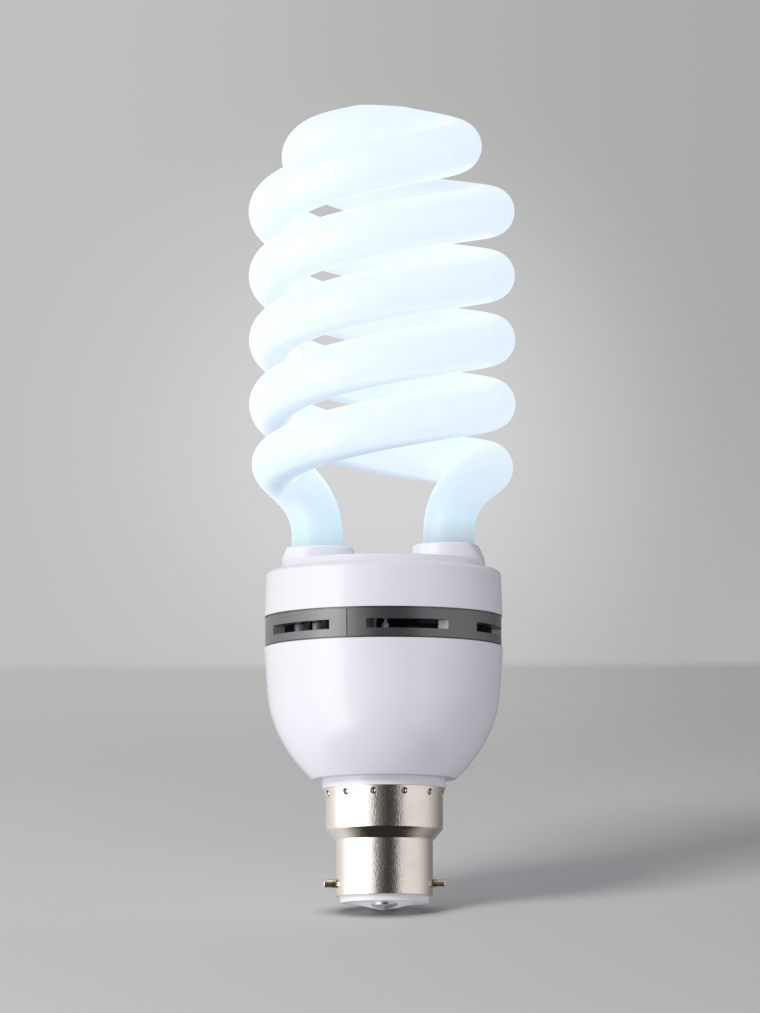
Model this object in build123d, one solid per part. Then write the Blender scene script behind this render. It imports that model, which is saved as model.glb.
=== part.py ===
from build123d import *
import math
import os

os.makedirs("parts", exist_ok=True)

# A spiral fluorescent bulb with a bayonet cap. Millimetres, +Z up along the bulb's axis, cap down.
# The origin is on the axis at the lowest point of the two contacts. The bayonet pins lie along X,
# and the front is -Y. Azimuths are degrees from +X, seen from above.

wall = 1.6

# Cap
cap_wall = 0.4
barrel_radius = 11.0
barrel_bottom_z = 2.96
barrel_height = 12.54
step_reach = 2.33
step_height = 2.6
step_round = 1.2
skirt_height = 9.2
flare_height = 1.7
flare_reach = 0.52
lip_reach = 0.7
dimple_count = 12
dimple_azimuth = -70.0
dimple_drop = 1.3
dimple_radius = 0.75
dimple_depth = 0.5
pin_radius = 1.0
pin_neck_radius = 0.8
pin_rise = 2.92
pin_length = 2.7
pin_seat_gap = 0.05
pin_bore_radius = 0.55
pin_bore_depth = 1.5
pin_edge = 0.15
pin_head_radius = 1.4
pin_head_thickness = 0.5
insulator_clearance = 0.05
insulator_thickness = 0.94
insulator_rim_inset = 1.06
insulator_rim_drop = 1.5
insulator_mound_radius = 7.4
insulator_tip_radius = 3.0
insulator_tip_z = 0.35
contact_offset = 3.9
contact_radius = 2.95
contact_dome = 0.75
contact_thickness = 2.0

# Vent ring
ring_bottom_z = 59.36
ring_height = 7.0
ring_radius = 26.8
ring_wall = 2.3
ring_groove = 0.35
ring_groove_depth = 0.5
spigot_clearance = 0.1
spigot_down = 3.0
spigot_up = 6.0
slot_count = 6
slot_angle = 41.4
slot_taper = 3.0
slot_height = 2.1
slot_rise = 3.19
slot_azimuth = -77.6
parting_width = 0.3
parting_depth = 0.25

# Lower housing
bowl_rim_step = 0.33
bowl_draft = 0.73
bowl_side_height = 9.86
bowl_curve = [(7.8, 0.115), (3.65, 0.4), (1.2, 0.675)]
bowl_foot_step = 2.27
bowl_foot_round = 0.5
bowl_foot_slope = 0.9
neck_step = 0.18
neck_height = 2.2
stub_clearance = 0.05
stub_depth = 6.8
stub_wall = 1.3
rib_count = 4
rib_azimuth = 45.0
rib_width = 2.0
rib_reach = 2.2
rib_height = 9.0

# Upper cover
cover_rim_step = 0.24
cover_draft = 0.34
cover_height = 10.44
cover_shoulder_round = 1.3
plateau_inset = 3.2
plateau_draft = 0.5
plateau_rise = 1.85
collar_radius = 8.3
collar_rise = 3.75
collar_round = 0.5
collar_mid_inset = 0.6
collar_mid_drop = 0.6
collar_top_inset = 1.8
leg_clearance = 0.15
sleeve_wall = 1.2
sleeve_depth = 8.15
cement_thickness = 1.6
cement_rise = 3.0

# Discharge tube
tube_radius = 5.8
coil_radius = 24.5
coil_pitch = 29.5
coil_phase = -8.9
coil_rise = 14.2
coil_start_angle = 27.2
coil_end_angle = 789.2
crown_sweep = 137.3
crown_lift = 1.223
crown_steps = 6
leg_inset = 8.271
leg_azimuth = -10.98
leg_rise = 2.9
leg_bend_rise = 12.1
leg_bend_reach = 11.1
leg_depth = 7.65
leg_end_round = 2.0
pinch_width = 7.6
pinch_thickness = 2.4
pinch_height = 4.6
pinch_round = 0.95
lead_spacing = 4.0

# Ballast
board_clearance = 1.2
board_thickness = 1.6
board_drop = 8.56
lead_radius = 0.35
lead_tail = 0.8
lead_overlap = 0.5
hole_clearance = 0.1
supply_radius = 0.5
supply_offset = 9.0
fuse_radius = 1.6
fuse_length = 9.0
fuse_rise = 0.7
post_radius = 0.5
post_height = 7.5
post_inset = 2.8
post_front_y = 0.5
post_back_y = 4.5
wrap_radius = 0.95
wrap_height = 2.4
diode_count = 4
diode_pitch = 3.3
diode_x = -13.4
diode_first_y = -7.6

# Where each part stands on the board: how far in from its edge, and at which azimuth
layout = {
    "bulk_capacitor": (7.6, 99.0),
    "resonance_capacitor": (5.9, 47.3),
    "coupling_capacitor": (5.1, 141.6),
    "transistor_front": (7.6, -53.1),
    "transistor_side": (3.4, -20.9),
    "thermistor": (3.35, -71.6),
    "start_resistor": (2.65, -154.5),
    "base_resistor": (3.2, -136.6),
    "sense_resistor": (3.0, -88.6),
    "ring_transformer": (11.4, -92.3),
    "filter_inductor": (5.5, -120.5),
}

skirt_radius = barrel_radius + step_reach
flare_radius = skirt_radius + flare_reach
barrel_top_z = barrel_bottom_z + barrel_height
skirt_bottom_z = barrel_top_z + step_height
neck_bottom_z = skirt_bottom_z + skirt_height
neck_radius = flare_radius + neck_step
pin_z = barrel_bottom_z + pin_rise
lip_radius = barrel_radius - lip_reach
stub_radius = skirt_radius - cap_wall - stub_clearance
bowl_foot_z = neck_bottom_z + neck_height
bowl_foot_radius = neck_radius + bowl_foot_step
bowl_rim_radius = ring_radius + bowl_rim_step
bowl_side_radius = bowl_rim_radius - bowl_draft
bowl_side_z = ring_bottom_z - bowl_side_height
ring_inner_radius = ring_radius - ring_wall
ring_top_z = ring_bottom_z + ring_height
cover_rim_radius = ring_radius + cover_rim_step
shoulder_radius = cover_rim_radius - cover_draft
shoulder_z = ring_top_z + cover_height
plateau_radius = shoulder_radius - plateau_inset
plateau_z = shoulder_z + plateau_rise
collar_z = plateau_z + collar_rise
sleeve_bottom_z = plateau_z - sleeve_depth
sleeve_top_z = plateau_z - wall
leg_reach = plateau_radius - leg_inset
leg_x = leg_reach * math.cos(math.radians(leg_azimuth))
leg_y = leg_reach * math.sin(math.radians(leg_azimuth))
leg_end_z = plateau_z - leg_depth
knee_z = collar_z + leg_rise
coil_base_z = knee_z + coil_rise
pinch_bottom_z = leg_end_z - pinch_height
board_radius = bowl_side_radius - wall - board_clearance
board_top_z = ring_bottom_z - board_drop
board_bottom_z = board_top_z - board_thickness
tail_z = board_bottom_z - lead_tail
post_x = board_radius - post_inset

drill_points = []


def save(shape, name):
    shape.label = name
    export_step(shape, f"parts/{name}.step")


def turned(points):
    """A solid of revolution about Z from an outline of (radius, height) corners."""
    outline = Polyline(*[(r, 0, z) for r, z in points], close=True)
    return revolve(make_face(outline), Axis.Z)


def rod(radius, x, y, bottom, top):
    """A round rod along Z."""
    return Pos(x, y, bottom) * Cylinder(radius, top - bottom, align=(Align.CENTER, Align.CENTER, Align.MIN))


def block(width, depth, height, x, y, bottom):
    """A box that stands on the height bottom."""
    return Pos(x, y, bottom) * Box(width, depth, height, align=(Align.CENTER, Align.CENTER, Align.MIN))


def wire(radius, points, bend):
    """A round wire along straight runs joined by arcs."""
    path = FilletPolyline(*points, radius=bend)
    return sweep(Plane(path @ 0, z_dir=path % 0) * Circle(radius), path=path)


def drill(x, y, radius=lead_radius):
    """Notes a hole through the board for a lead."""
    drill_points.append((x, y, radius + hole_clearance))


def lead(x, y, top):
    """A straight lead that ends under the board, with its hole."""
    drill(x, y)
    return rod(lead_radius, x, y, tail_z, top)


def board_spot(name):
    """The place of a part on the board, from its distance to the edge and its azimuth."""
    inset, azimuth = layout[name]
    turn = math.radians(azimuth)
    return (board_radius - inset) * math.cos(turn), (board_radius - inset) * math.sin(turn)


# Discharge tube: one glass tube, in runs that meet face to face


def coil_point(angle, radius, height):
    turn = math.radians(angle + coil_phase)
    return Vector(radius * math.cos(turn), radius * math.sin(turn), height)


def coil_tangent(angle):
    turn = math.radians(angle + coil_phase)
    rise = coil_pitch / (2 * math.pi)
    return Vector(-coil_radius * math.sin(turn), coil_radius * math.cos(turn), rise).normalized()


def crown_point(share):
    """The bridge over the top: share is 1 where the coil ends and 0 on the axis."""
    rise = coil_pitch * crown_sweep / 360 * crown_lift
    easing = 1 / crown_lift - 1
    height = coil_base_z + coil_pitch * coil_end_angle / 360
    height += rise * (1 - (1 - easing) * share**2 - easing * share**4)
    angle = coil_end_angle + crown_sweep * (1 - share**2)
    return coil_point(angle, coil_radius * math.sin(math.pi / 2 * share), height)


def pipe(path):
    return sweep(Plane(path @ 0, z_dir=path % 0) * Circle(tube_radius), path=path)


def make_tube_leg():
    """The straight foot of an arm, pinched shut round its two lead wires, and its bend into the coil."""
    leg = rod(tube_radius, leg_x, leg_y, leg_end_z, knee_z)
    leg = fillet(leg.faces().sort_by(Axis.Z)[0].edges(), leg_end_round)
    pinch = block(pinch_width, pinch_thickness, pinch_height + leg_end_round, leg_x, leg_y, pinch_bottom_z)
    pinch = fillet(pinch.edges().filter_by(Axis.Z), pinch_round)
    knee = Vector(leg_x, leg_y, knee_z)
    start = coil_point(coil_start_angle, coil_radius, coil_base_z + coil_pitch * coil_start_angle / 360)
    inlet = start - coil_tangent(coil_start_angle) * leg_bend_reach
    return leg + pinch + pipe(Bezier(knee, knee + Vector(0, 0, leg_bend_rise), inlet, start))


def make_coil_part(index):
    """One quarter of an arm's coil, counted from below."""
    part_angle = (coil_end_angle - coil_start_angle) / 4
    angle = coil_start_angle + part_angle * index
    place = Pos(0, 0, coil_base_z + coil_pitch * angle / 360) * Rot(0, 0, angle + coil_phase)
    return pipe(place * Helix(coil_pitch, coil_pitch * part_angle / 360, coil_radius))


def make_tube_bridge():
    crown = [crown_point(1 - step / crown_steps) for step in range(crown_steps + 1)]
    inward = coil_point(coil_end_angle + crown_sweep, -1, 0)
    half = pipe(Spline(*crown, tangents=[coil_tangent(coil_end_angle), inward]))
    return half + Rot(0, 0, 180) * half


# Housing


def cover_bore(z):
    """The inner radius of the cover's side wall at the height z."""
    share = (z - ring_top_z) / (shoulder_z - ring_top_z)
    return cover_rim_radius + (shoulder_radius - cover_rim_radius) * share - wall


def bowl_bore(z):
    """The inner radius of the bowl's side wall at the height z."""
    share = (z - bowl_side_z) / (ring_bottom_z - bowl_side_z)
    return bowl_side_radius + (bowl_rim_radius - bowl_side_radius) * share - wall


def make_upper_cover():
    leg_places = [(leg_x, leg_y), (-leg_x, -leg_y)]
    solid = turned([(0, ring_top_z), (cover_rim_radius, ring_top_z),
                    (shoulder_radius, shoulder_z), (plateau_radius, shoulder_z),
                    (plateau_radius - plateau_draft, plateau_z), (0, plateau_z)])
    rings = solid.edges().filter_by(GeomType.CIRCLE)
    solid = fillet(rings.sort_by(lambda edge: abs(edge.radius - shoulder_radius))[0], cover_shoulder_round)
    collar_mid_z = (plateau_z + collar_z) / 2 - collar_mid_drop
    collar_limit = turned([(0, shoulder_z), (plateau_radius, shoulder_z),
                           (plateau_radius - collar_mid_inset, collar_mid_z),
                           (plateau_radius - collar_top_inset, collar_z), (0, collar_z)])
    collar_limit = fillet(collar_limit.faces().sort_by(Axis.Z)[-1].edges(), collar_round)
    for x, y in leg_places:
        collar = rod(collar_radius, x, y, shoulder_z, collar_z)
        collar = fillet(collar.faces().sort_by(Axis.Z)[-1].edges(), collar_round)
        solid += collar & collar_limit
    roof_z = shoulder_z - wall
    solid -= turned([(0, ring_top_z), (cover_bore(ring_top_z), ring_top_z), (cover_bore(roof_z), roof_z),
                     (plateau_radius - wall, roof_z), (plateau_radius - wall, sleeve_top_z),
                     (0, sleeve_top_z)])
    cement_radius = tube_radius + cement_thickness
    for x, y in leg_places:
        solid += rod(cement_radius + sleeve_wall, x, y, sleeve_bottom_z, sleeve_top_z)
    for x, y in leg_places:
        solid -= rod(cement_radius, x, y, sleeve_bottom_z, sleeve_top_z)
        solid -= rod(tube_radius + leg_clearance, x, y, sleeve_bottom_z, collar_z)
    return solid


def make_leg_cement():
    ring = rod(tube_radius + cement_thickness, leg_x, leg_y, sleeve_bottom_z + cement_rise, sleeve_top_z)
    return ring - rod(tube_radius, leg_x, leg_y, sleeve_bottom_z, sleeve_top_z)


def slot_cutter():
    """One slot, open outwards, whose ends lean in through the wall."""
    half_outer = math.radians(slot_angle / 2)
    half_inner = math.radians(slot_angle / 2 - slot_taper)
    outer = Vector(ring_radius * math.cos(half_outer), ring_radius * math.sin(half_outer))
    inner = Vector(ring_inner_radius * math.cos(half_inner), ring_inner_radius * math.sin(half_inner))
    near = inner - (outer - inner)
    far = outer + (outer - inner) * 2
    corners = [(near.X, near.Y), (far.X, far.Y), (far.X, -far.Y), (near.X, -near.Y)]
    shape = make_face(Polyline(*corners, close=True))
    return Pos(0, 0, ring_bottom_z + slot_rise) * extrude(shape, slot_height / 2, both=True)


def make_vent_ring():
    spigot_top_z = ring_top_z + spigot_up
    spigot_bottom_z = ring_bottom_z - spigot_down
    spigot_up_radius = cover_bore(spigot_top_z) - spigot_clearance
    spigot_down_radius = bowl_bore(spigot_bottom_z) - spigot_clearance
    groove_radius = ring_radius - ring_groove_depth
    ring = turned([
        (ring_inner_radius, spigot_bottom_z),
        (spigot_down_radius, spigot_bottom_z),
        (spigot_down_radius, ring_bottom_z),
        (groove_radius, ring_bottom_z),
        (groove_radius, ring_bottom_z + ring_groove),
        (ring_radius, ring_bottom_z + ring_groove),
        (ring_radius, ring_top_z - ring_groove),
        (groove_radius, ring_top_z - ring_groove),
        (groove_radius, ring_top_z),
        (spigot_up_radius, ring_top_z),
        (spigot_up_radius, spigot_top_z),
        (ring_inner_radius, spigot_top_z),
    ])
    for index in range(slot_count):
        ring -= Rot(0, 0, slot_azimuth + index * 360 / slot_count) * slot_cutter()
    for side in (0, 180):
        groove = block(parting_depth * 2, parting_width, ring_height, ring_radius, 0, ring_bottom_z)
        ring -= Rot(0, 0, slot_azimuth - 180 / slot_count + side) * groove
    return ring


def bowl_solid(inset):
    """The bowl filled up, with its side moved in by inset."""
    corner = (bowl_foot_radius - inset, 0, bowl_foot_z + inset)
    side = (bowl_side_radius - inset, 0, bowl_side_z)
    rim = (bowl_rim_radius - inset, 0, ring_bottom_z)
    points = [corner]
    for reach, share in bowl_curve:
        points.append((side[0] - reach, 0, corner[2] + (bowl_side_z - corner[2]) * share))
    points.append(side)
    up = Vector(*rim) - Vector(*side)
    curve = Spline(*points, tangents=[(1, 0, bowl_foot_slope), up.normalized()])
    closing = Polyline(rim, (0, 0, rim[2]), (0, 0, corner[2]), corner)
    return revolve(make_face(Wire([curve, Line(side, rim)] + closing.edges())), Axis.Z)


def make_lower_housing():
    bowl = bowl_solid(0)
    bowl = fillet(bowl.edges().filter_by(GeomType.CIRCLE).sort_by(Axis.Z)[0], bowl_foot_round)
    neck = rod(neck_radius, 0, 0, neck_bottom_z, bowl_foot_z)
    stub = rod(stub_radius, 0, 0, neck_bottom_z - stub_depth, neck_bottom_z)
    stub_bore = rod(stub_radius - stub_wall, 0, 0, neck_bottom_z - stub_depth, bowl_foot_z + wall)
    housing = bowl + neck + stub - bowl_solid(wall) - stub_bore
    rib_length = rib_reach + wall
    for index in range(rib_count):
        rib = block(rib_length, rib_width, rib_height, bowl_side_radius - wall / 2 - rib_length / 2, 0,
                    board_bottom_z - rib_height)
        housing += Rot(0, 0, rib_azimuth + index * 360 / rib_count) * (rib & bowl_solid(wall / 2))
    for ball in dimple_balls(dimple_radius + cap_wall):
        housing -= ball
    return housing


# Cap


def dimple_balls(radius):
    """The spheres that the crimping punches leave, one for each dimple."""
    ball = Pos(skirt_radius - dimple_depth + dimple_radius, 0, neck_bottom_z - dimple_drop) * Sphere(radius)
    return [Rot(0, 0, dimple_azimuth + index * 360 / dimple_count) * ball for index in range(dimple_count)]


def cap_outline(inset):
    """The side of the stamped shell, from the barrel's foot to the skirt's mouth."""
    return FilletPolyline(
        (barrel_radius - inset, 0, barrel_bottom_z),
        (barrel_radius - inset, 0, barrel_top_z),
        (skirt_radius - inset, 0, skirt_bottom_z),
        (skirt_radius - inset, 0, neck_bottom_z - flare_height),
        (flare_radius - inset, 0, neck_bottom_z),
        radius=step_round)


def pin_rod(radius, start, end):
    """A round rod along +X on the axis of the bayonet pins."""
    return Pos(start, 0, pin_z) * Rot(0, 90, 0) * Cylinder(
        radius, end - start, align=(Align.CENTER, Align.CENTER, Align.MIN))


def make_cap_shell():
    outer = cap_outline(0)
    inner = cap_outline(cap_wall)
    mouth = Line(outer @ 1, inner @ 1)
    foot = Line(inner @ 0, outer @ 0)
    shell = revolve(make_face(Wire(outer.edges() + [mouth] + inner.edges() + [foot])), Axis.Z)
    lip = rod(barrel_radius - cap_wall / 2, 0, 0, barrel_bottom_z, barrel_bottom_z + cap_wall)
    shell += lip - rod(lip_radius, 0, 0, barrel_bottom_z, barrel_bottom_z + cap_wall)
    for ball in dimple_balls(dimple_radius + cap_wall):
        shell += ball & rod(skirt_radius - cap_wall / 2, 0, 0, barrel_top_z, neck_bottom_z)
    for ball in dimple_balls(dimple_radius):
        shell -= ball
    for side in (0, 180):
        shell -= Rot(0, 0, side) * pin_rod(pin_neck_radius, barrel_radius / 2, skirt_radius)
    return shell


def make_bayonet_pin():
    """A pin whose neck passes through the shell and is headed inside it."""
    seat = barrel_radius + pin_seat_gap
    head_end = math.sqrt((barrel_radius - cap_wall)**2 - pin_head_radius**2)
    head_start = head_end - pin_head_thickness
    pin = pin_rod(pin_radius, seat, barrel_radius + pin_length)
    pin = chamfer(pin.faces().sort_by(Axis.X)[-1].edges(), pin_edge)
    pin += pin_rod(pin_neck_radius, head_end, seat)
    pin += pin_rod(pin_head_radius, head_start, head_end)
    tip = barrel_radius + pin_length
    return pin - pin_rod(pin_bore_radius, tip - pin_bore_depth, tip)


def make_cap_insulator():
    body_radius = barrel_radius - cap_wall - insulator_clearance
    shelf_z = barrel_bottom_z + cap_wall
    top_z = shelf_z + insulator_thickness
    rim_z = barrel_bottom_z - insulator_rim_drop
    disc = turned([
        (0, insulator_tip_z), (insulator_tip_radius, insulator_tip_z),
        (insulator_mound_radius, rim_z), (barrel_radius - insulator_rim_inset, rim_z),
        (lip_radius, shelf_z), (body_radius, shelf_z), (body_radius, top_z), (0, top_z)])
    for side in (1, -1):
        disc -= rod(contact_radius, 0, side * contact_offset, 0, contact_thickness)
        disc -= rod(supply_radius + hole_clearance, 0, side * contact_offset, 0, top_z)
    return disc


def make_contact():
    dome = (contact_radius**2 + contact_dome**2) / (2 * contact_dome)
    button = rod(contact_radius, 0, 0, 0, contact_thickness)
    return button & Pos(0, 0, dome) * Sphere(dome)


# Ballast


def make_bulk_capacitor():
    radius = 5.0
    height = 17.0
    rim_round = 0.6
    groove_rise = 2.2
    groove_reach = 0.35
    lead_pitch = 5.0
    x, y = board_spot("bulk_capacitor")
    can = rod(radius, x, y, board_top_z, board_top_z + height)
    can = fillet(can.edges().filter_by(GeomType.CIRCLE), rim_round)
    can -= Pos(x, y, board_top_z + groove_rise) * Torus(radius + groove_reach, groove_reach * 2)
    for side in (1, -1):
        can += lead(x + side * lead_pitch / 2, y, board_top_z + lead_overlap)
    return can


def make_choke():
    """An E-core choke that stands on its bobbin's base: core halves, bobbin and winding."""
    core_width = 16.0
    core_height = 14.0
    core_depth = 5.0
    side_leg = 2.5
    middle_leg = 4.0
    back = 2.0
    play = 0.1
    bobbin_wall = 0.7
    base_height = 1.6
    flange_depth = 12.0
    pin_pitch = 4.0
    winding_inset = 0.4
    winding_round = 2.0
    x = 0.0
    y = 1.0
    core_z = board_top_z + base_height
    window_width = (core_width - 2 * side_leg - middle_leg) / 2
    core = block(core_width, core_depth, core_height, x, y, core_z)
    for side in (1, -1):
        middle = side * (middle_leg + window_width) / 2
        core -= block(window_width, core_depth, core_height - 2 * back, x + middle, y, core_z + back)
    half_height = core_height / 2
    lower = core & block(core_width, core_depth, half_height, x, y, core_z)
    upper = core & block(core_width, core_depth, half_height, x, y, core_z + half_height)
    tube_width = middle_leg + 2 * (play + bobbin_wall)
    tube_depth = core_depth + 2 * (play + bobbin_wall)
    flange_width = core_width - 2 * side_leg - 2 * play
    bottom = core_z + back + play
    top = core_z + core_height - back - play
    bobbin = block(tube_width, tube_depth, top - bottom, x, y, bottom)
    for level in (bottom, top - bobbin_wall):
        bobbin += block(flange_width, flange_depth, bobbin_wall, x, y, level)
    bobbin -= block(middle_leg + 2 * play, core_depth + 2 * play, core_height, x, y, core_z)
    rail_depth = (flange_depth - core_depth) / 2 - play
    for side in (1, -1):
        rail_y = y + side * (flange_depth - rail_depth) / 2
        bobbin += block(flange_width, rail_depth, bottom - board_top_z, x, rail_y, board_top_z)
        for column in (-1, 0, 1):
            bobbin += lead(x + column * pin_pitch, rail_y, board_top_z + lead_overlap)
    bobbin += block(flange_width, core_depth + 2 * play, core_z - board_top_z, x, y, board_top_z)
    winding_bottom = bottom + bobbin_wall
    winding_height = top - bobbin_wall - winding_bottom
    winding_width = flange_width - 2 * winding_inset
    winding_depth = flange_depth - 2 * winding_inset
    winding = block(winding_width, winding_depth, winding_height, x, y, winding_bottom)
    winding = fillet(winding.edges().filter_by(Axis.Z), winding_round)
    winding -= block(tube_width, tube_depth, winding_height, x, y, winding_bottom)
    return {"choke_core_lower": lower, "choke_core_upper": upper, "choke_bobbin": bobbin,
            "choke_winding": winding}


def make_ring_transformer():
    """A small ferrite ring on the board, with three windings of a few turns each."""
    outer_radius = 4.5
    inner_radius = 2.3
    height = 4.0
    edge_round = 0.3
    strand = 0.8
    play = 0.1
    winding_count = 3
    turn_step = 22.0
    core = Cylinder(outer_radius, height) - Cylinder(inner_radius, height)
    core = fillet(core.edges().filter_by(GeomType.CIRCLE), edge_round)
    inside = outer_radius - inner_radius + play
    loop = Box(inside + 2 * strand, strand, height + 2 * strand) - Box(inside, strand, height)
    loop = Pos((outer_radius + inner_radius) / 2, 0, 0) * loop
    group = Rot(0, 0, -turn_step) * loop + loop + Rot(0, 0, turn_step) * loop
    groups = [Rot(0, 0, index * 360 / winding_count) * group for index in range(winding_count)]
    x, y = board_spot("ring_transformer")
    place = Pos(x, y, board_top_z + strand + height / 2)
    return {"ring_core": place * core, "ring_windings": place * Compound(children=groups)}


def make_film_capacitor(name, width, depth, height):
    side_round = 0.8
    top_round = 0.6
    lead_inset = 1.5
    x, y = board_spot(name)
    body = block(width, depth, height, x, y, board_top_z)
    body = fillet(body.edges().filter_by(Axis.Z), side_round)
    body = fillet(body.faces().sort_by(Axis.Z)[-1].edges(), top_round)
    for side in (1, -1):
        body += lead(x + side * (width / 2 - lead_inset), y, board_top_z + lead_overlap)
    return body


def make_transistor(name, turn):
    """A power transistor that stands on its three legs."""
    width = 7.8
    depth = 2.6
    height = 10.8
    foot = 2.0
    top_edge = 0.3
    eye_radius = 1.6
    eye_drop = 3.8
    leg_pitch = 2.3
    leg_width = 0.7
    leg_thickness = 0.5
    bottom = board_top_z + foot
    x, y = board_spot(name)
    place = Pos(x, y, 0) * Rot(0, 0, turn)
    body = block(width, depth, height, 0, 0, bottom)
    body = chamfer(body.faces().sort_by(Axis.Z)[-1].edges(), top_edge)
    body -= Pos(0, 0, bottom + height - eye_drop) * Rot(90, 0, 0) * Cylinder(eye_radius, depth)
    leg_length = bottom + lead_overlap - tail_z
    for column in (-1, 0, 1):
        body += block(leg_width, leg_thickness, leg_length, column * leg_pitch, 0, tail_z)
        spot = place * Pos(column * leg_pitch, 0, 0)
        drill(spot.position.X, spot.position.Y, math.hypot(leg_width, leg_thickness) / 2)
    return place * body


def make_flat_diode(x, y):
    """A diode lying along X, with its leads bent down into the board."""
    radius = 1.35
    length = 5.2
    span = 8.0
    lead_bend = 0.8
    axis_z = board_top_z + radius
    body = Pos(x, y, axis_z) * Rot(0, 90, 0) * Cylinder(radius, length)
    near = x - span / 2
    far = x + span / 2
    drill(near, y)
    drill(far, y)
    path = [(near, y, tail_z), (near, y, axis_z), (far, y, axis_z), (far, y, tail_z)]
    return body + wire(lead_radius, path, lead_bend)


def make_standing_resistor(name, radius, length, foot, turn):
    """A resistor stood on end, with one lead bent over and down beside it."""
    lead_pitch = 2.6
    lead_bend = 0.9
    crest_rise = 1.4
    end_round = 0.4
    bottom = board_top_z + foot
    crest = bottom + length + crest_rise
    body = rod(radius, 0, 0, bottom, bottom + length)
    body = fillet(body.edges().filter_by(GeomType.CIRCLE), end_round)
    path = [(0, 0, tail_z), (0, 0, crest), (lead_pitch, 0, crest), (lead_pitch, 0, tail_z)]
    part = body + wire(lead_radius, path, lead_bend)
    x, y = board_spot(name)
    place = Pos(x, y, 0) * Rot(0, 0, turn)
    far = place * Pos(lead_pitch, 0, 0)
    drill(x, y)
    drill(far.position.X, far.position.Y)
    return place * part


def make_thermistor():
    """A disc thermistor that stands on two leads."""
    radius = 3.2
    thickness = 3.0
    rim_round = 1.0
    rise = 8.4
    lead_pitch = 3.6
    x, y = board_spot("thermistor")
    middle_z = board_top_z + rise
    disc = Pos(x, y, middle_z) * Rot(90, 0, 0) * Cylinder(radius, thickness)
    disc = fillet(disc.edges().filter_by(GeomType.CIRCLE), rim_round)
    for side in (1, -1):
        disc += lead(x + side * lead_pitch / 2, y, middle_z)
    return disc


def make_filter_inductor():
    """A drum inductor: a ferrite bobbin and, as a piece of its own, its winding."""
    flange_radius = 3.5
    core_radius = 1.8
    flange = 1.2
    height = 8.0
    winding_inset = 0.4
    lead_pitch = 4.0
    x, y = board_spot("filter_inductor")
    low = board_top_z + flange
    high = board_top_z + height - flange
    drum = rod(flange_radius, x, y, board_top_z, low)
    drum += rod(flange_radius, x, y, high, high + flange)
    drum += rod(core_radius, x, y, low, high)
    for side in (1, -1):
        drum += lead(x + side * lead_pitch / 2, y, board_top_z + lead_overlap)
    coil = rod(flange_radius - winding_inset, x, y, low, high) - rod(core_radius, x, y, low, high)
    return {"filter_core": drum, "filter_winding": coil}


def make_wire_posts():
    posts = []
    for side in (1, -1):
        for y in (post_front_y, post_back_y):
            posts.append(rod(post_radius, side * post_x, y, tail_z, board_top_z + post_height))
            drill(side * post_x, y, post_radius)
    return Compound(children=posts)


def make_tube_leads(side):
    """The two wires from one pinch seal, each wound round its post."""
    lead_bend = 1.0
    level = board_top_z + post_height - wrap_height / 2
    wires = []
    for offset, post_y in ((-lead_spacing / 2, post_back_y), (lead_spacing / 2, post_front_y)):
        post = Vector(side * post_x, post_y)
        corner = Vector(side * (leg_x + offset), side * leg_y)
        end = post - (post - corner).normalized() * (wrap_radius + post_radius) / 2
        path = [(corner.X, corner.Y, pinch_bottom_z), (corner.X, corner.Y, level), (end.X, end.Y, level)]
        strand = wire(lead_radius, path, lead_bend)
        strand += rod(wrap_radius, post.X, post.Y, level - wrap_height / 2, level + wrap_height / 2)
        strand -= rod(post_radius, post.X, post.Y, level - wrap_height, level + wrap_height)
        wires.append(strand)
    return Compound(children=wires)


def make_supply_lines():
    """The two lines from the board to the contacts. The front one holds the fusible resistor."""
    bend_drop = 6.8
    line_bend = 4.0
    fuse_bend = 1.5
    fuse_round = 0.5
    fuse_lead = 2.0
    bottom = neck_bottom_z + fuse_rise
    top = bottom + fuse_length
    board_z = board_top_z + lead_overlap
    turn_z = board_top_z - bend_drop
    back = wire(supply_radius, [
        (0, supply_offset, board_z), (0, supply_offset, turn_z),
        (0, contact_offset, bottom), (0, contact_offset, contact_thickness)], line_bend)
    lower = rod(supply_radius, 0, -contact_offset, contact_thickness, bottom - fuse_lead)
    fuse = rod(fuse_radius, 0, -contact_offset, bottom, top)
    fuse = fillet(fuse.edges().filter_by(GeomType.CIRCLE), fuse_round)
    fuse += rod(supply_radius, 0, -contact_offset, bottom - fuse_lead, bottom + lead_overlap)
    fuse += wire(supply_radius, [
        (0, -contact_offset, top - lead_overlap), (0, -contact_offset, top + fuse_lead),
        (0, -supply_offset, turn_z + fuse_lead), (0, -supply_offset, board_z)], fuse_bend)
    for side in (1, -1):
        drill(0, side * supply_offset, supply_radius)
    return {"supply_wire_back": back, "supply_wire_front": lower, "fusible_resistor": fuse}


def make_board():
    board = rod(board_radius, 0, 0, board_bottom_z, board_top_z)
    for x, y, radius in drill_points:
        board -= rod(radius, x, y, board_bottom_z, board_top_z)
    return board


half_turn = Rot(0, 0, 180)
leg = make_tube_leg()
coil_lower = make_coil_part(0) + make_coil_part(1)
coil_upper = make_coil_part(2) + make_coil_part(3)
pin = make_bayonet_pin()
cement = make_leg_cement()

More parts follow.
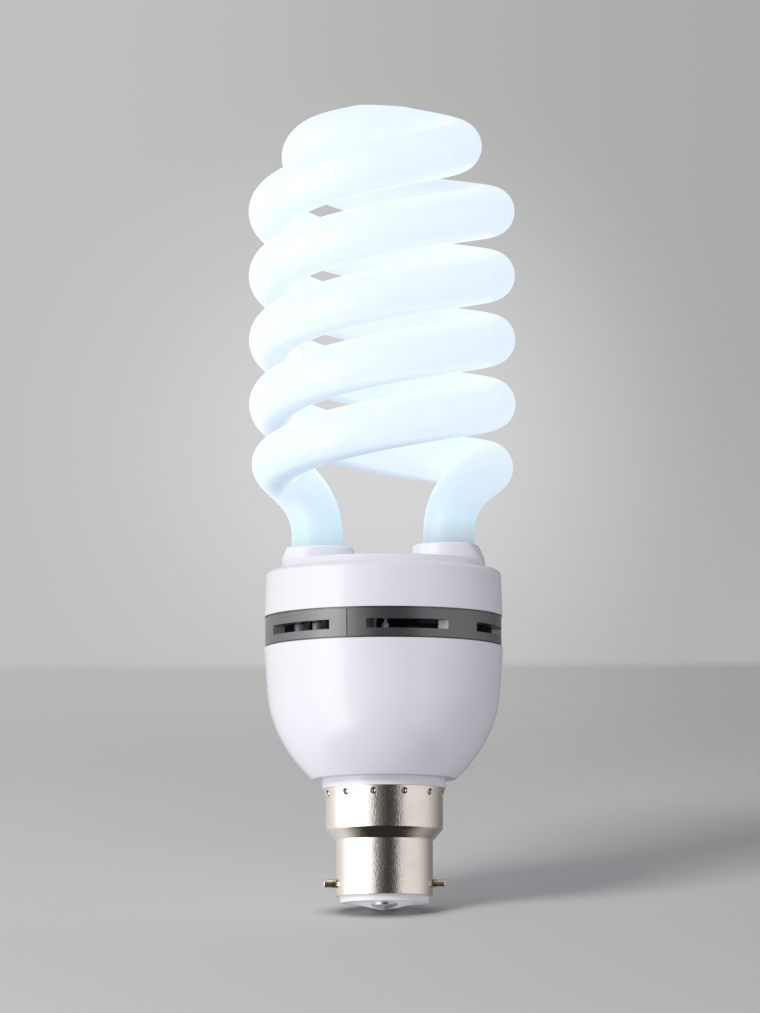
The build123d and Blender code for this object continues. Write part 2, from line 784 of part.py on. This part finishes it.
pieces = {
    "tube_bridge": make_tube_bridge(),
    "tube_coil_upper_right": coil_upper,
    "tube_coil_upper_left": half_turn * coil_upper,
    "tube_coil_lower_right": coil_lower,
    "tube_coil_lower_left": half_turn * coil_lower,
    "tube_leg_right": leg,
    "tube_leg_left": half_turn * leg,
    "upper_cover": make_upper_cover(),
    "vent_ring": make_vent_ring(),
    "lower_housing": make_lower_housing(),
    "cap_shell": make_cap_shell(),
    "bayonet_pin_right": pin,
    "bayonet_pin_left": half_turn * pin,
    "cap_insulator": make_cap_insulator(),
    "contact_front": Pos(0, -contact_offset, 0) * make_contact(),
    "contact_back": Pos(0, contact_offset, 0) * make_contact(),
    "leg_cement_right": cement,
    "leg_cement_left": half_turn * cement,
    "bulk_capacitor": make_bulk_capacitor(),
    "resonance_capacitor": make_film_capacitor("resonance_capacitor", 10.0, 5.0, 9.0),
    "coupling_capacitor": make_film_capacitor("coupling_capacitor", 8.0, 4.0, 8.0),
    "transistor_front": make_transistor("transistor_front", 0),
    "transistor_side": make_transistor("transistor_side", 90),
    "thermistor": make_thermistor(),
    "wire_posts": make_wire_posts(),
    "tube_leads_right": make_tube_leads(1),
    "tube_leads_left": make_tube_leads(-1),
    "start_resistor": make_standing_resistor("start_resistor", 1.15, 6.4, 6.8, 60),
    "base_resistor": make_standing_resistor("base_resistor", 1.15, 6.4, 6.8, 60),
    "sense_resistor": make_standing_resistor("sense_resistor", 0.8, 4.0, 8.4, 160),
}
pieces.update(make_choke())
pieces.update(make_ring_transformer())
pieces.update(make_filter_inductor())
for number in range(diode_count):
    pieces[f"rectifier_diode_{number + 1}"] = make_flat_diode(diode_x, diode_first_y + number * diode_pitch)
pieces.update(make_supply_lines())
pieces["ballast_board"] = make_board()

for name, piece in pieces.items():
    save(piece, name)
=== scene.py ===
import bpy
import bmesh
import math
from mathutils import Matrix, Vector

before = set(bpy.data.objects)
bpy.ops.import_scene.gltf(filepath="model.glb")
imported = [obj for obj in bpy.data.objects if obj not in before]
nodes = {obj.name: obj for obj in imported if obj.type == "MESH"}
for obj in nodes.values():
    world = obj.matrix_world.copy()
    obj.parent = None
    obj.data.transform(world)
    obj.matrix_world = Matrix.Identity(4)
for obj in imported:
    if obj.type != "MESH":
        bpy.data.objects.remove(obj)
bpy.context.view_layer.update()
scene = bpy.context.scene


# Camera, at the photograph's viewing angle
camera_data = bpy.data.cameras.new("camera")
camera_data.sensor_width = 36.0
camera_data.lens = 314.65
camera_data.clip_end = 100.0
camera = bpy.data.objects.new("camera", camera_data)
scene.collection.objects.link(camera)
camera.matrix_world = (
    Matrix.Translation((-0.00064, -2.0, -0.1252))
    @ Matrix.Rotation(math.radians(96.188), 4, "X")
    @ Matrix.Rotation(math.radians(-0.236), 4, "Z")
)
scene.camera = camera


# Materials


class Look:
    """A material whose Principled shader gets its inputs from procedural nodes."""

    def __init__(self, name):
        self.material = bpy.data.materials.new(name)
        self.material.use_nodes = True
        self.tree = self.material.node_tree
        self.shader = self.tree.nodes["Principled BSDF"]
        self.place = self.node("ShaderNodeTexCoord").outputs["Object"]

    def node(self, kind, **values):
        made = self.tree.nodes.new(kind)
        for key, value in values.items():
            setattr(made, key, value)
        return made

    def link(self, output, socket):
        self.tree.links.new(output, socket)

    def put(self, **values):
        for key, value in values.items():
            self.shader.inputs[key.replace("_", " ")].default_value = value

    def noise(self, scale, detail=3.0, roughness=0.5, stretch=(1, 1, 1), distortion=0.0):
        spot = self.node("ShaderNodeMapping")
        spot.inputs["Scale"].default_value = stretch
        self.link(self.place, spot.inputs["Vector"])
        made = self.node("ShaderNodeTexNoise")
        made.inputs["Scale"].default_value = scale
        made.inputs["Detail"].default_value = detail
        made.inputs["Roughness"].default_value = roughness
        made.inputs["Distortion"].default_value = distortion
        self.link(spot.outputs["Vector"], made.inputs["Vector"])
        return made.outputs["Fac"]

    def ramp(self, source, stops):
        made = self.node("ShaderNodeValToRGB")
        while len(made.color_ramp.elements) < len(stops):
            made.color_ramp.elements.new(0.5)
        for element, (spot, colour) in zip(made.color_ramp.elements, stops):
            element.position = spot
            element.color = (*colour, 1.0)
        self.link(source, made.inputs["Fac"])
        return made.outputs["Color"]

    def span(self, source, low, high, start=0.3, end=0.7):
        made = self.node("ShaderNodeMapRange")
        made.inputs["From Min"].default_value = start
        made.inputs["From Max"].default_value = end
        made.inputs["To Min"].default_value = low
        made.inputs["To Max"].default_value = high
        self.link(source, made.inputs["Value"])
        return made.outputs["Result"]

    def axis(self, name):
        made = self.node("ShaderNodeSeparateXYZ")
        self.link(self.place, made.inputs["Vector"])
        return made.outputs[name]

    def maths(self, kind, first, second):
        made = self.node("ShaderNodeMath", operation=kind)
        for socket, value in zip(made.inputs, (first, second)):
            if isinstance(value, (int, float)):
                socket.default_value = value
            else:
                self.link(value, socket)
        return made.outputs["Value"]

    def mix(self, factor, first, second):
        made = self.node("ShaderNodeMix", data_type="RGBA")
        sockets = (made.inputs[0], made.inputs[6], made.inputs[7])
        for socket, value in zip(sockets, (factor, first, second)):
            if isinstance(value, (int, float)):
                socket.default_value = value
            elif isinstance(value, tuple):
                socket.default_value = (*value, 1.0)
            else:
                self.link(value, socket)
        return made.outputs[2]

    def bump(self, height, distance, strength=1.0, normal=None):
        made = self.node("ShaderNodeBump")
        made.inputs["Distance"].default_value = distance
        made.inputs["Strength"].default_value = strength
        self.link(height, made.inputs["Height"])
        if normal is not None:
            self.link(normal, made.inputs["Normal"])
        return made.outputs["Normal"]

    def soft_edges(self, radius):
        made = self.node("ShaderNodeBevel")
        made.samples = 4
        made.inputs["Radius"].default_value = radius
        return made.outputs["Normal"]

    def colour(self, output):
        self.link(output, self.shader.inputs["Base Color"])

    def rough(self, output):
        self.link(output, self.shader.inputs["Roughness"])

    def normal(self, output):
        self.link(output, self.shader.inputs["Normal"])


def plastic(name, dark, light, rough_low, rough_high, grain, depth, edge=0.00015):
    """Moulded plastic, lacquer or ceramic: faint mottling, uneven gloss, a fine skin texture."""
    look = Look(name)
    look.colour(look.ramp(look.noise(90, 4), [(0.3, dark), (0.7, light)]))
    look.rough(look.span(look.noise(240, 5), rough_low, rough_high))
    skin = look.bump(look.noise(grain, 2), depth, 0.6, look.soft_edges(edge))
    look.normal(skin)
    return look


looks = {}

# Coated glass of the lit tube: the glow is bluer and dimmer at the foot, and painted shade dims it in the
# creases between turns, on the undersides of the lower turns and at the leg ends by the foot
glass = Look("coated_glass")
height = glass.axis("Z")
foot = glass.node("ShaderNodeMapRange", interpolation_type="SMOOTHSTEP")
foot.inputs["From Min"].default_value = 0.079
foot.inputs["From Max"].default_value = 0.106
foot.inputs["To Min"].default_value = 0.0
foot.inputs["To Max"].default_value = 1.0
glass.link(height, foot.inputs["Value"])
powder = glass.span(glass.noise(260, 4), 0.97, 1.0)
glow = glass.mix(foot.outputs["Result"], (0.40, 0.60, 0.71), (0.65, 0.745, 0.86))
speckled = glass.node("ShaderNodeMix", data_type="RGBA", blend_type="MULTIPLY")
speckled.inputs[0].default_value = 1.0
glass.link(glow, speckled.inputs[6])
glass.link(powder, speckled.inputs[7])
# Painted shade: the glow is dimmed where the turns lie close together, in the creases between them
crease_painted_shade = glass.node("ShaderNodeAmbientOcclusion", samples=8)
crease_painted_shade.inputs["Distance"].default_value = 0.0025
painted_crease_shade_stops = [
    (0.1, (1.0, 1.0, 1.0)),
    (0.22, (0.66, 0.74, 0.8)),
    (0.6, (0.86, 0.9, 0.93)),
    (0.95, (1.0, 1.0, 1.0)),
]
painted_crease_shade = glass.ramp(crease_painted_shade.outputs["AO"], painted_crease_shade_stops)
# Painted shade: the glow is dimmed on the undersides of the turns, most on the lower turns
facing = glass.node("ShaderNodeSeparateXYZ")
glass.link(glass.node("ShaderNodeNewGeometry").outputs["Normal"], facing.inputs["Vector"])
underside_shade_mask = glass.span(facing.outputs["Z"], 1.0, 0.0, -0.99, -0.8)
lower_turns_shade_weight = glass.span(height, 1.0, 0.25, 0.1, 0.15)
shade = glass.mix(glass.maths("MULTIPLY", underside_shade_mask, lower_turns_shade_weight), (1.0, 1.0, 1.0), (0.6, 0.66, 0.7))
# Painted shade: the glow turns darker and browner at the leg ends by the foot, more on the right side
near_foot = glass.span(height, 1.0, 0.0, 0.0805, 0.088)
right_arm = glass.span(glass.axis("X"), 0.3, 1.0, -0.012, 0.012)
leg_end_shade_mask = glass.maths("MULTIPLY", near_foot, right_arm)
painted_leg_end_shade = glass.mix(leg_end_shade_mask, (1.0, 1.0, 1.0), (0.6, 0.52, 0.46))
glowing = speckled.outputs[2]
for part in (painted_crease_shade, shade, painted_leg_end_shade):
    dimmed = glass.node("ShaderNodeMix", data_type="RGBA", blend_type="MULTIPLY")
    dimmed.inputs[0].default_value = 1.0
    glass.link(glowing, dimmed.inputs[6])
    glass.link(part, dimmed.inputs[7])
    glowing = dimmed.outputs[2]
glass.link(glowing, glass.shader.inputs["Emission Color"])
glass.colour(glass.ramp(glass.noise(120, 4), [(0.3, (0.23, 0.235, 0.24)), (0.7, (0.25, 0.255, 0.26))]))
glass.rough(glass.span(glass.noise(300, 4), 0.3, 0.38))
glass.normal(glass.bump(glass.noise(160, 3), 0.00002, 0.5))
glass.put(Emission_Strength=1.0, Specular_IOR_Level=0.3)
looks["coated_glass"] = glass

# White plastic of the housing
white_dark = (0.80, 0.795, 0.85)
white_light = (0.815, 0.81, 0.865)
white = plastic("white_plastic", white_dark, white_light, 0.06, 0.09, 1500, 0.000003, 0.00025)
white.put(Specular_IOR_Level=0.4)
looks["white_plastic"] = white

# Grey plastic of the vent ring
grey_dark = (0.045, 0.045, 0.048)
grey_light = (0.052, 0.052, 0.055)
grey = plastic("grey_plastic", grey_dark, grey_light, 0.24, 0.32, 2600, 0.000012, 0.00012)
grey.put(Specular_IOR_Level=1.0, IOR=1.56)
looks["grey_plastic"] = grey

# Nickel plate
nickel = Look("nickel_plate")
plate = nickel.ramp(nickel.noise(170, 5), [(0.3, (0.63, 0.585, 0.545)), (0.7, (0.68, 0.635, 0.595))])
# Painted shade: the plate turns dark brown in crevices, under the neck ring and in the dimples, where shade
# falls
crevice_painted_shade = nickel.node("ShaderNodeAmbientOcclusion", samples=8)
crevice_painted_shade.inputs["Distance"].default_value = 0.0012
nickel.colour(nickel.mix(nickel.span(crevice_painted_shade.outputs["AO"], 1.0, 0.0, 0.4, 0.8), plate, (0.14, 0.09, 0.06)))
nickel.rough(nickel.span(nickel.noise(700, 4), 0.1, 0.15))
orange_peel = nickel.bump(nickel.noise(1900, 2), 0.000003, 0.5, nickel.soft_edges(0.00012))
grain = nickel.bump(nickel.noise(5200, 0, stretch=(1, 1, 0.25)), 0.000026, 0.9, orange_peel)
nickel.normal(grain)
nickel.put(Metallic=1.0)
looks["nickel_plate"] = nickel

pin = Look("pin_metal")
neck = pin.span(pin.maths("ABSOLUTE", pin.axis("X"), 0.0), 1.0, 0.0, 0.0115, 0.0122)
plated = pin.ramp(pin.noise(1500, 4), [(0.35, (0.62, 0.58, 0.5)), (0.65, (0.74, 0.71, 0.65))])
worn = pin.ramp(pin.noise(2400, 4), [(0.4, (0.2, 0.14, 0.07)), (0.6, (0.75, 0.62, 0.38))])
pin.colour(pin.mix(neck, plated, worn))
pin.rough(pin.span(pin.noise(1500, 4), 0.1, 0.22))
pin.normal(pin.bump(pin.noise(2600, 3), 0.00005, 0.7, pin.soft_edges(0.0001)))
pin.put(Metallic=1.0)
looks["pin_metal"] = pin

insulator = plastic("white_insulator", (0.8, 0.82, 0.86), (0.85, 0.87, 0.9), 0.3, 0.42, 1800, 0.00001)
looks["white_insulator"] = insulator

solder = Look("solder")
solder.colour(solder.ramp(solder.noise(500, 5), [(0.35, (0.3, 0.3, 0.31)), (0.65, (0.45, 0.45, 0.46))]))
solder.rough(solder.span(solder.noise(900, 4), 0.14, 0.28))
solder.normal(solder.bump(solder.noise(420, 3, distortion=0.6), 0.00004, 0.7))
solder.put(Metallic=1.0)
looks["solder"] = solder

# Plain moulded, lacquered and sintered pieces: dark, light, roughness from and to, grain and its depth
plain_pieces = [
    ("cement", (0.55, 0.52, 0.47), (0.68, 0.65, 0.6), 0.8, 0.95, 900, 0.00006),
    ("capacitor_sleeve", (0.035, 0.03, 0.05), (0.05, 0.045, 0.07), 0.25, 0.4, 1500, 0.00001),
    ("film_capacitor_case", (0.42, 0.06, 0.03), (0.5, 0.09, 0.04), 0.25, 0.4, 1100, 0.00003),
    ("black_epoxy", (0.02, 0.02, 0.022), (0.035, 0.035, 0.036), 0.4, 0.55, 2600, 0.00002),
    ("ceramic_disc", (0.05, 0.16, 0.09), (0.08, 0.22, 0.12), 0.35, 0.5, 1200, 0.00002),
    ("resistor_body", (0.7, 0.7, 0.7), (0.8, 0.8, 0.8), 0.2, 0.35, 1600, 0.00002),
    ("ferrite", (0.03, 0.03, 0.03), (0.055, 0.052, 0.05), 0.5, 0.7, 1500, 0.00003),
    ("bobbin_plastic", (0.03, 0.03, 0.03), (0.045, 0.045, 0.045), 0.4, 0.55, 1800, 0.00001),
    ("wire_sleeve", (0.6, 0.6, 0.58), (0.68, 0.68, 0.66), 0.45, 0.6, 1500, 0.00001),
    ("board_laminate", (0.42, 0.32, 0.16), (0.5, 0.4, 0.22), 0.45, 0.6, 1300, 0.00002),
]
for slot, *values in plain_pieces:
    looks[slot] = plastic(slot, *values)

tinned = Look("tinned_metal")
tinned.colour(tinned.ramp(tinned.noise(700, 4), [(0.3, (0.6, 0.6, 0.6)), (0.7, (0.78, 0.77, 0.75))]))
tinned.rough(tinned.span(tinned.noise(1200, 4), 0.2, 0.35))
tinned.normal(tinned.bump(tinned.noise(2500, 3), 0.00001, 0.5))
tinned.put(Metallic=1.0)
looks["tinned_metal"] = tinned

copper = Look("copper_enamel")
wave = copper.node("ShaderNodeTexWave", wave_type="BANDS", bands_direction="Z")
wave.inputs["Scale"].default_value = 1600
wave.inputs["Distortion"].default_value = 0.4
copper.link(copper.place, wave.inputs["Vector"])
copper.colour(copper.ramp(wave.outputs["Fac"], [(0.1, (0.26, 0.09, 0.035)), (0.9, (0.72, 0.34, 0.16))]))
copper.rough(copper.span(copper.noise(900, 4), 0.25, 0.4))
copper.normal(copper.bump(wave.outputs["Fac"], 0.00012, 0.8))
copper.put(Metallic=0.85)
looks["copper_enamel"] = copper


# Every CAD node keeps its shape and gets its material by the slot the record gives it
def dress(item, look):
    mesh = item.data
    mesh.materials.clear()
    mesh.materials.append(look.material)
    for polygon in mesh.polygons:
        polygon.use_smooth = True
        polygon.material_index = 0
    weld = item.modifiers.new("weld", "WELD")
    weld.merge_threshold = 0.000002
    split = item.modifiers.new("split", "EDGE_SPLIT")
    split.split_angle = math.radians(28)
    item.modifiers.new("normals", "WEIGHTED_NORMAL")


for item in nodes.values():
    dress(item, looks[item.material_slots[0].material.name.split(".")[0]])


# Floor: a pale disc that fades into the backdrop, tilted because the camera looks from just below the base
def make_floor():
    mesh = bpy.data.meshes.new("floor")
    shape = bmesh.new()
    bmesh.ops.create_circle(shape, cap_ends=True, radius=0.6, segments=96)
    shape.to_mesh(mesh)
    shape.free()
    floor = bpy.data.objects.new("floor", mesh)
    scene.collection.objects.link(floor)
    floor.location = (0, 0, -0.0006)
    floor.rotation_euler = (math.radians(10.0), 0, 0)
    floor.visible_glossy = False
    floor.visible_diffuse = False
    look = Look("floor")
    look.put(Roughness=0.9)
    # Painted light: the floor colour is lighter at the left than at the right, and lighter towards the back
    # to make up for the key lamp's falloff
    left_to_right_painted_light = look.span(look.axis("X"), 0.0, 1.0, -0.1, 0.1)
    near = look.mix(left_to_right_painted_light, (0.80, 0.80, 0.79), (0.70, 0.70, 0.695))
    far = look.mix(left_to_right_painted_light, (0.94, 0.94, 0.93), (0.80, 0.80, 0.795))
    pale = look.mix(look.span(look.axis("Y"), 0.0, 1.0, -0.05, 0.25), near, far)
    # Painted shadow: the floor colour darkens round the base where it touches, a painted contact shadow
    painted_contact_shadow = look.node("ShaderNodeAmbientOcclusion", samples=12)
    painted_contact_shadow.inputs["Distance"].default_value = 0.01
    look.colour(look.mix(look.span(painted_contact_shadow.outputs["AO"], 1.0, 0.0, 0.4, 0.9), pale, (0.24, 0.24, 0.24)))
    away = look.node("ShaderNodeVectorMath", operation="LENGTH")
    look.link(look.place, away.inputs[0])
    fade = look.node("ShaderNodeMapRange", interpolation_type="SMOOTHSTEP")
    fade.inputs["From Min"].default_value = 0.25
    fade.inputs["From Max"].default_value = 0.56
    fade.inputs["To Min"].default_value = 1.0
    fade.inputs["To Max"].default_value = 0.0
    look.link(away.outputs["Value"], fade.inputs["Value"])
    look.link(fade.outputs["Result"], look.shader.inputs["Alpha"])
    mesh.materials.append(look.material)


make_floor()


# Soft studio light
def softbox(name, spot, target, width, height_, power, tint):
    data = bpy.data.lights.new(name, "AREA")
    data.shape = "RECTANGLE"
    data.size = width
    data.size_y = height_
    data.energy = power
    data.color = tint
    lamp = bpy.data.objects.new(name, data)
    scene.collection.objects.link(lamp)
    lamp.location = spot
    aim = Vector(target) - Vector(spot)
    lamp.rotation_euler = aim.to_track_quat("-Z", "Y").to_euler()
    lamp.visible_glossy = False


softbox("key", (-0.65, -1.125, 0.83), (0, 0, 0.08), 0.45, 0.45, 11.0, (1.0, 0.99, 0.98))

# World: one colour for the camera, one for shiny surfaces and one for all other light
world = bpy.data.worlds.new("world")
scene.world = world
world.use_nodes = True
tree = world.node_tree
ambient = tree.nodes["Background"]
studio = tree.nodes.new("ShaderNodeBackground")
backdrop = tree.nodes.new("ShaderNodeBackground")
backdrop.inputs["Strength"].default_value = 1.0
place = tree.nodes.new("ShaderNodeTexCoord")
parts = tree.nodes.new("ShaderNodeSeparateXYZ")
tree.links.new(place.outputs["Generated"], parts.inputs["Vector"])


def world_range(source, start, end, low, high, kind="SMOOTHSTEP"):
    made = tree.nodes.new("ShaderNodeMapRange")
    made.interpolation_type = kind
    made.inputs["From Min"].default_value = start
    made.inputs["From Max"].default_value = end
    made.inputs["To Min"].default_value = low
    made.inputs["To Max"].default_value = high
    tree.links.new(source, made.inputs["Value"])
    return made.outputs["Result"]


def world_mix(factor, first, second):
    made = tree.nodes.new("ShaderNodeMix")
    made.data_type = "RGBA"
    sockets = (made.inputs[0], made.inputs[6], made.inputs[7])
    for socket, value in zip(sockets, (factor, first, second)):
        if isinstance(value, tuple):
            socket.default_value = (*value, 1.0)
        else:
            tree.links.new(value, socket)
    return made.outputs[2]


def world_distance(centre):
    made = tree.nodes.new("ShaderNodeVectorMath")
    made.operation = "DISTANCE"
    tree.links.new(place.outputs["Generated"], made.inputs[0])
    made.inputs[1].default_value = centre
    return made.outputs["Value"]


# The backdrop, with painted light: lighter at the left, with a painted pool of light behind the tube, and
# the ground below the horizon lighter at the left than at the right
glow_centre = (0.0, 0.9934, 0.1145)
glow_radius = 0.044
horizon_low = 0.0893
horizon_high = 0.0905
across = world_range(parts.outputs["X"], -0.038, 0.043, 0.0, 1.0)
low = world_range(parts.outputs["Z"], 0.085, 0.125, 1.0, 0.0)
right_wall = world_mix(low, (0.405, 0.405, 0.4), (0.45, 0.45, 0.445))
wall = world_mix(across, (0.525, 0.525, 0.518), right_wall)
glow_share = world_range(world_distance(glow_centre), 0.0, glow_radius, 0.9, 0.0)
lit = world_mix(glow_share, wall, (0.70, 0.70, 0.70))
ground_side = world_range(parts.outputs["X"], -0.005, 0.05, 0.0, 1.0)
ground = world_mix(ground_side, (0.475, 0.475, 0.468), (0.34, 0.34, 0.335))
both = world_mix(world_range(parts.outputs["Z"], horizon_low, horizon_high, 0.0, 1.0), ground, lit)
tree.links.new(both, backdrop.inputs["Color"])

# The studio that shiny surfaces mirror: a wide bright box on the left, a dimmer one on the right, a dark
# gap between them where the camera stands
turn = tree.nodes.new("ShaderNodeMath")
turn.operation = "ARCTAN2"
tree.links.new(parts.outputs["X"], turn.inputs[0])
minus_y = tree.nodes.new("ShaderNodeMath")
minus_y.operation = "MULTIPLY"
minus_y.inputs[1].default_value = -1.0
tree.links.new(parts.outputs["Y"], minus_y.inputs[0])
tree.links.new(minus_y.outputs["Value"], turn.inputs[1])
share = world_range(turn.outputs["Value"], -math.pi, math.pi, 0.0, 1.0, "LINEAR")


def world_ring(stops):
    """Colours by direction round the object: 0 degrees is the front, where the camera stands."""
    made = tree.nodes.new("ShaderNodeValToRGB")
    while len(made.color_ramp.elements) < len(stops):
        made.color_ramp.elements.new(0.5)
    for element, (azimuth, colour) in zip(made.color_ramp.elements, stops):
        element.position = (azimuth + 180) / 360
        element.color = (*colour, 1.0)
    tree.links.new(share, made.inputs["Fac"])
    return made.outputs["Color"]


band_levels = [
    (-180, 0.5), (-120, 1.2), (-80, 2.6), (-62, 4.4), (-44, 4.4), (-35, 1.9), (-26, 1.3), (-18, 0.4),
    (-2, 0.1), (15, 0.05), (27, 0.2), (40, 1.0), (60, 1.1), (90, 1.0), (120, 0.5), (140, 0.25), (180, 0.25),
]
band = world_ring([(azimuth, (level, level * 0.985, level * 0.97)) for azimuth, level in band_levels])
behind_left = (0.66, 0.65, 0.62)
behind_right = (0.46, 0.45, 0.45)
far_side = world_mix(world_range(parts.outputs["X"], -0.3, 0.3, 0.0, 1.0), behind_left, behind_right)
below = world_mix(world_range(parts.outputs["Y"], -0.02, 0.3, 0.0, 1.0), (0.04, 0.035, 0.03), far_side)
above = world_mix(world_range(parts.outputs["Z"], 0.25, 0.7, 0.0, 1.0), band, (0.55, 0.55, 0.55))
mirrored = world_mix(world_range(parts.outputs["Z"], -0.78, -0.6, 0.0, 1.0), below, above)
tree.links.new(mirrored, studio.inputs["Color"])

# The soft light on everything: weaker at the front right and overhead, stronger from the lower left
left_levels = [(-180, 0.8), (-120, 1.05), (-40, 1.0)]
right_levels = [(12, 0.42), (36, 0.42), (80, 1.2), (110, 1.2), (180, 0.9)]
soft_stops = [(azimuth, (level, level, level)) for azimuth, level in left_levels]
soft_stops += [(azimuth, (level, level, level * 1.08)) for azimuth, level in right_levels]
around = world_ring(soft_stops)
sky = world_mix(world_range(parts.outputs["Z"], 0.2, 0.6, 0.0, 1.0), around, (0.14, 0.14, 0.145))
low_left = (1.3, 1.3, 1.34)
low_right = (0.24, 0.24, 0.25)
low_sky = world_mix(world_range(parts.outputs["X"], -0.35, 0.4, 0.0, 1.0), low_left, low_right)
all_round = world_mix(world_range(parts.outputs["Z"], -0.5, -0.1, 0.0, 1.0), low_sky, sky)
tree.links.new(all_round, ambient.inputs["Color"])

path = tree.nodes.new("ShaderNodeLightPath")
lighting = tree.nodes.new("ShaderNodeMixShader")
tree.links.new(path.outputs["Is Glossy Ray"], lighting.inputs["Fac"])
tree.links.new(ambient.outputs["Background"], lighting.inputs[1])
tree.links.new(studio.outputs["Background"], lighting.inputs[2])
chosen = tree.nodes.new("ShaderNodeMixShader")
tree.links.new(path.outputs["Is Camera Ray"], chosen.inputs["Fac"])
tree.links.new(lighting.outputs["Shader"], chosen.inputs[1])
tree.links.new(backdrop.outputs["Background"], chosen.inputs[2])
tree.links.new(chosen.outputs["Shader"], tree.nodes["World Output"].inputs["Surface"])

scene.view_settings.view_transform = "Standard"
